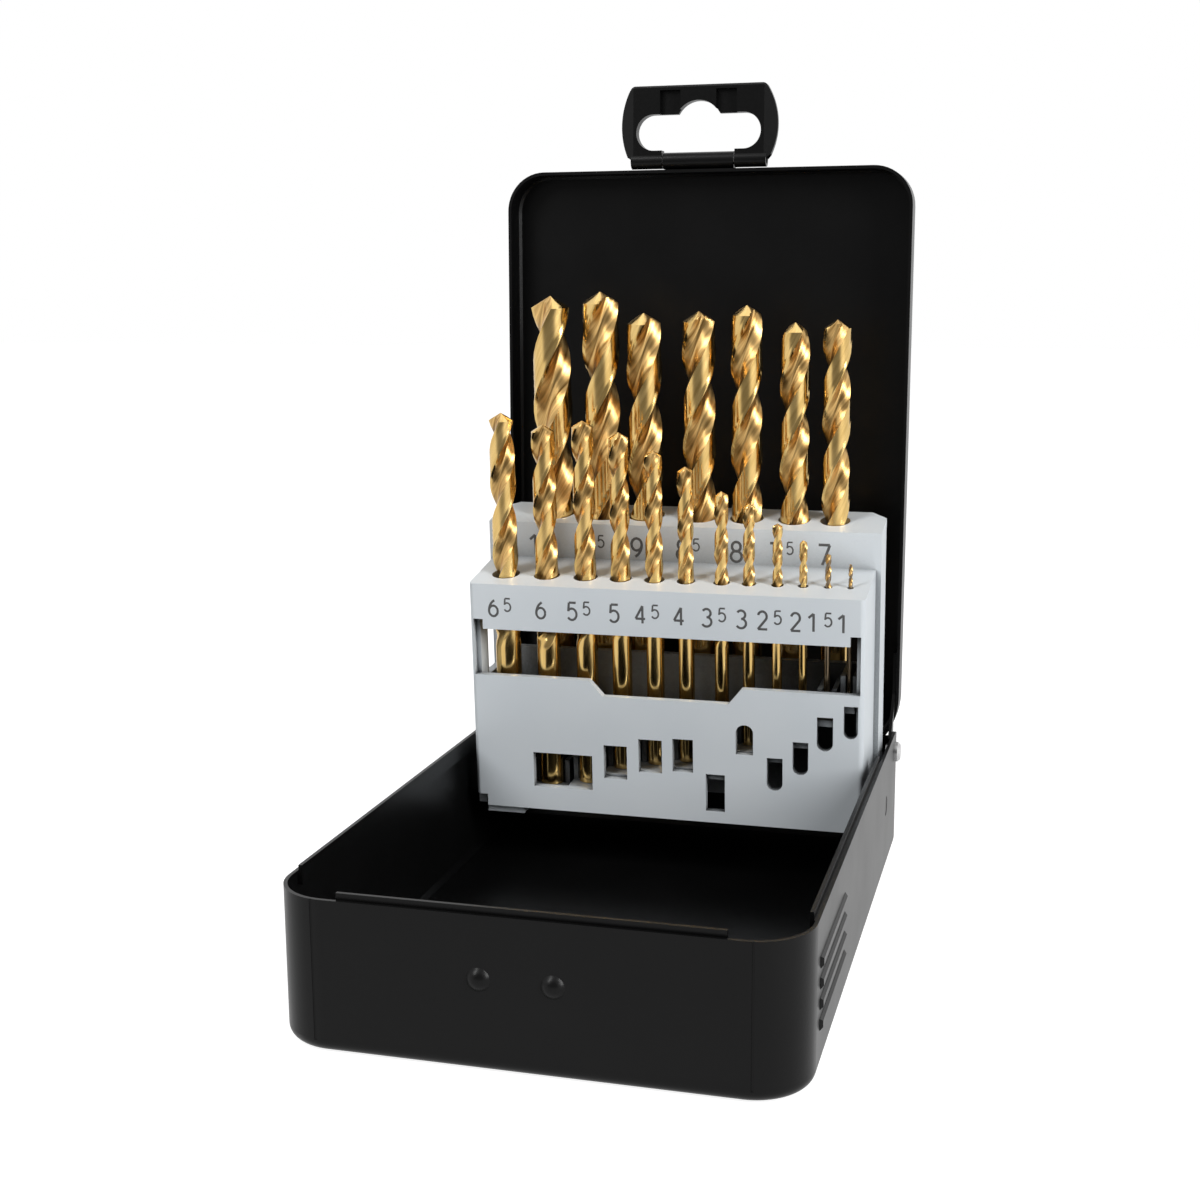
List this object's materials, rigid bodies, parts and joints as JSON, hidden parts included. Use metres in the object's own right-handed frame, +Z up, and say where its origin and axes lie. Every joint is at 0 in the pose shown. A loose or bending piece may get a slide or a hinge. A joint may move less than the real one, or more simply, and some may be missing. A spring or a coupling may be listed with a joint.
{
  "type": "drill bit case",
  "caption": "Flat hinged sheet-metal case with a fold-up two-tier rack holding graded twist drills, and a moulded hanger tab that snaps the lid shut.",
  "frame": {"origin": "centre of the tray's underside", "axes": "+Z up, -Y towards the front of the case, which opens forwards; +X to the right seen from the front"},
  "size_m": [0.1096, 0.1681, 0.1976],
  "materials": {
    "case_paint": "black powder paint, slightly textured",
    "rack_plastic": "light grey moulded plastic",
    "tab_plastic": "black moulded plastic",
    "coated_steel": "gold-coloured nitride coating on ground steel",
    "rivet_steel": "bare rivet steel"
  },
  "bodies": {
    "case_base": {"base_tray": "case_paint", "hinge_rivet_left": "rivet_steel", "hinge_rivet_right": "rivet_steel"},
    "lid": {"lid_shell": "case_paint", "hanger_pin": "rivet_steel"},
    "hanger": {"hanger_tab": "tab_plastic"},
    "rack": {"drill_rack": "rack_plastic"},
    "drill_01_0": {"drill_bit_01_0": "coated_steel"},
    "drill_01_5": {"drill_bit_01_5": "coated_steel"},
    "drill_02_0": {"drill_bit_02_0": "coated_steel"},
    "drill_02_5": {"drill_bit_02_5": "coated_steel"},
    "drill_03_0": {"drill_bit_03_0": "coated_steel"},
    "drill_03_5": {"drill_bit_03_5": "coated_steel"},
    "drill_04_0": {"drill_bit_04_0": "coated_steel"},
    "drill_04_5": {"drill_bit_04_5": "coated_steel"},
    "drill_05_0": {"drill_bit_05_0": "coated_steel"},
    "drill_05_5": {"drill_bit_05_5": "coated_steel"},
    "drill_06_0": {"drill_bit_06_0": "coated_steel"},
    "drill_06_5": {"drill_bit_06_5": "coated_steel"},
    "drill_07_0": {"drill_bit_07_0": "coated_steel"},
    "drill_07_5": {"drill_bit_07_5": "coated_steel"},
    "drill_08_0": {"drill_bit_08_0": "coated_steel"},
    "drill_08_5": {"drill_bit_08_5": "coated_steel"},
    "drill_09_0": {"drill_bit_09_0": "coated_steel"},
    "drill_09_5": {"drill_bit_09_5": "coated_steel"},
    "drill_10_0": {"drill_bit_10_0": "coated_steel"}
  },
  "joints": [
    {"name": "lid_hinge", "type": "hinge", "parent": "case_base", "child": "lid", "pos_m": [0, 0.0725, 0.02655], "axis": [-1, 0, 0], "range_deg": [-91.2, 0]},
    {"name": "rack_fold", "type": "hinge", "parent": "case_base", "child": "rack", "pos_m": [0, 0.0522, 0.018], "axis": [-1, 0, 0], "range_deg": [-86.9, 0]},
    {"name": "hanger_fold", "type": "hinge", "parent": "lid", "child": "hanger", "pos_m": [-0.0019, 0.08304, 0.17866], "axis": [-1, 0, 0], "range_deg": [-90, 0]},
    {"name": "drill_01_0_lift", "type": "slide", "parent": "rack", "child": "drill_01_0", "axis": [0, -0.0541, 0.9985], "range_m": [0, 0.0295]},
    {"name": "drill_01_5_lift", "type": "slide", "parent": "rack", "child": "drill_01_5", "axis": [0, -0.0541, 0.9985], "range_m": [0, 0.0332]},
    {"name": "drill_02_0_lift", "type": "slide", "parent": "rack", "child": "drill_02_0", "axis": [0, -0.0541, 0.9985], "range_m": [0, 0.0391]},
    {"name": "drill_02_5_lift", "type": "slide", "parent": "rack", "child": "drill_02_5", "axis": [0, -0.0541, 0.9985], "range_m": [0, 0.0432]},
    {"name": "drill_03_0_lift", "type": "slide", "parent": "rack", "child": "drill_03_0", "axis": [0, -0.0541, 0.9985], "range_m": [0, 0.0425]},
    {"name": "drill_03_5_lift", "type": "slide", "parent": "rack", "child": "drill_03_5", "axis": [0, -0.0541, 0.9985], "range_m": [0, 0.0487]},
    {"name": "drill_04_0_lift", "type": "slide", "parent": "rack", "child": "drill_04_0", "axis": [0, -0.0541, 0.9985], "range_m": [0, 0.0479]},
    {"name": "drill_04_5_lift", "type": "slide", "parent": "rack", "child": "drill_04_5", "axis": [0, -0.0541, 0.9985], "range_m": [0, 0.0491]},
    {"name": "drill_05_0_lift", "type": "slide", "parent": "rack", "child": "drill_05_0", "axis": [0, -0.0541, 0.9985], "range_m": [0, 0.0508]},
    {"name": "drill_05_5_lift", "type": "slide", "parent": "rack", "child": "drill_05_5", "axis": [0, -0.0541, 0.9985], "range_m": [0, 0.0551]},
    {"name": "drill_06_0_lift", "type": "slide", "parent": "rack", "child": "drill_06_0", "axis": [0, -0.0541, 0.9985], "range_m": [0, 0.0562]},
    {"name": "drill_06_5_lift", "type": "slide", "parent": "rack", "child": "drill_06_5", "axis": [0, -0.0541, 0.9985], "range_m": [0, 0.0615]},
    {"name": "drill_07_0_lift", "type": "slide", "parent": "rack", "child": "drill_07_0", "axis": [0, -0.0541, 0.9985], "range_m": [0, 0.0603]},
    {"name": "drill_07_5_lift", "type": "slide", "parent": "rack", "child": "drill_07_5", "axis": [0, -0.0541, 0.9985], "range_m": [0, 0.061]},
    {"name": "drill_08_0_lift", "type": "slide", "parent": "rack", "child": "drill_08_0", "axis": [0, -0.0541, 0.9985], "range_m": [0, 0.0648]},
    {"name": "drill_08_5_lift", "type": "slide", "parent": "rack", "child": "drill_08_5", "axis": [0, -0.0541, 0.9985], "range_m": [0, 0.0663]},
    {"name": "drill_09_0_lift", "type": "slide", "parent": "rack", "child": "drill_09_0", "axis": [0, -0.0541, 0.9985], "range_m": [0, 0.0747]},
    {"name": "drill_09_5_lift", "type": "slide", "parent": "rack", "child": "drill_09_5", "axis": [0, -0.0541, 0.9985], "range_m": [0, 0.0694]},
    {"name": "drill_10_0_lift", "type": "slide", "parent": "rack", "child": "drill_10_0", "axis": [0, -0.0541, 0.9985], "range_m": [0, 0.0784]}
  ],
  "couplings": [
    {"joint": "rack_fold", "follows": "lid_hinge", "ratio": 0.95285}
  ]
}
